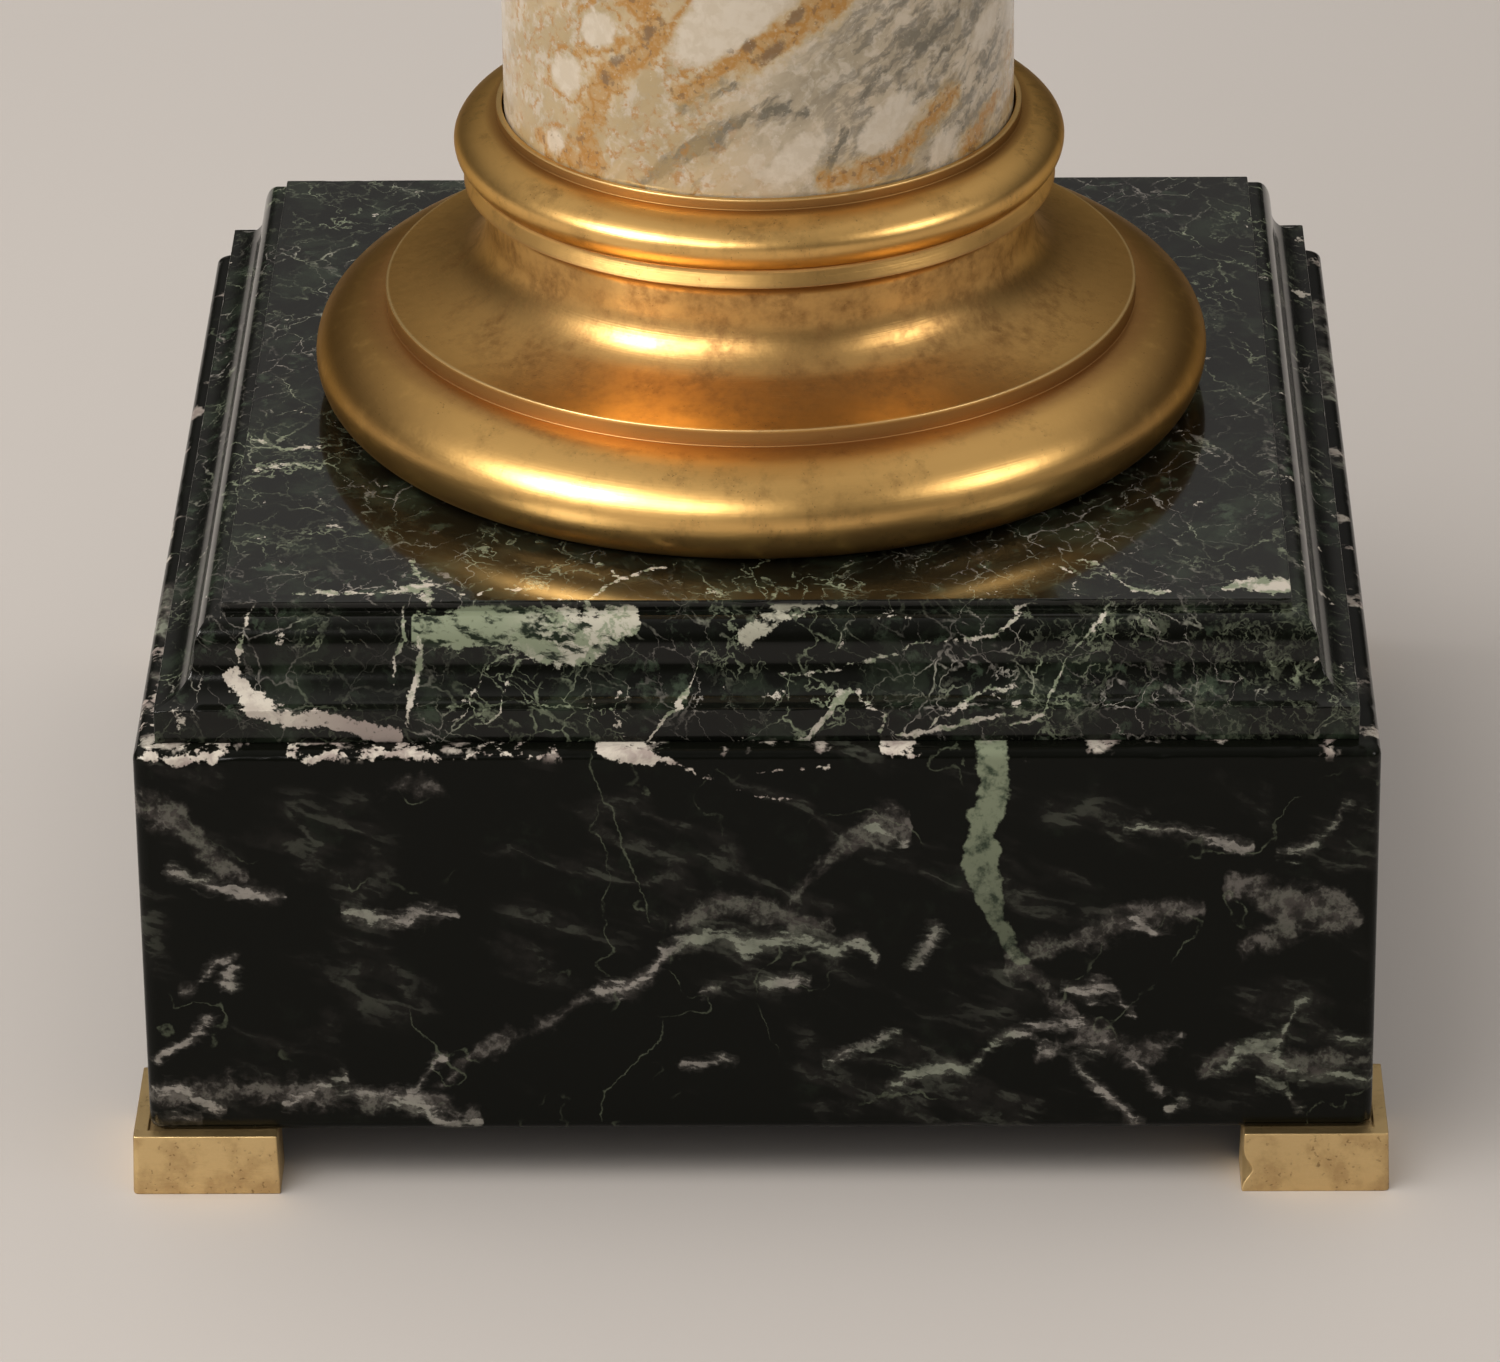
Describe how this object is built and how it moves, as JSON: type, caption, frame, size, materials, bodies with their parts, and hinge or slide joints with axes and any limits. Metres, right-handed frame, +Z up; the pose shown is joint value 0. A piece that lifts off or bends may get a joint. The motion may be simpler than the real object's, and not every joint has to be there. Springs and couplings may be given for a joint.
{
  "type": "marble column pedestal",
  "caption": "Marble column pedestal: square green marble plinth on bronze corner feet, turned gilt bronze base and capital, breccia shaft and square top for a vase or bust.",
  "frame": {"origin": "on the floor under the middle of the pedestal", "axes": "+Z up along the column's axis, front of the plinth towards -Y"},
  "size_m": [0.35, 0.35, 1.0892],
  "materials": {
    "green_marble": "polished near-black green marble with white and pale green veins",
    "breccia_marble": "polished cream, grey and ochre breccia marble",
    "gilt_bronze": "satin matte gilt bronze, darker brown in the hollows",
    "foot_bronze": "brushed pale gilt bronze with specks and small dents"
  },
  "bodies": {
    "root": {"foot_front_left": "foot_bronze", "foot_front_right": "foot_bronze", "foot_back_right": "foot_bronze", "foot_back_left": "foot_bronze", "plinth_block": "green_marble", "plinth_slab": "green_marble", "column_base": "gilt_bronze", "shaft": "breccia_marble", "capital": "gilt_bronze", "top_slab": "green_marble"}
  },
  "joints": []
}
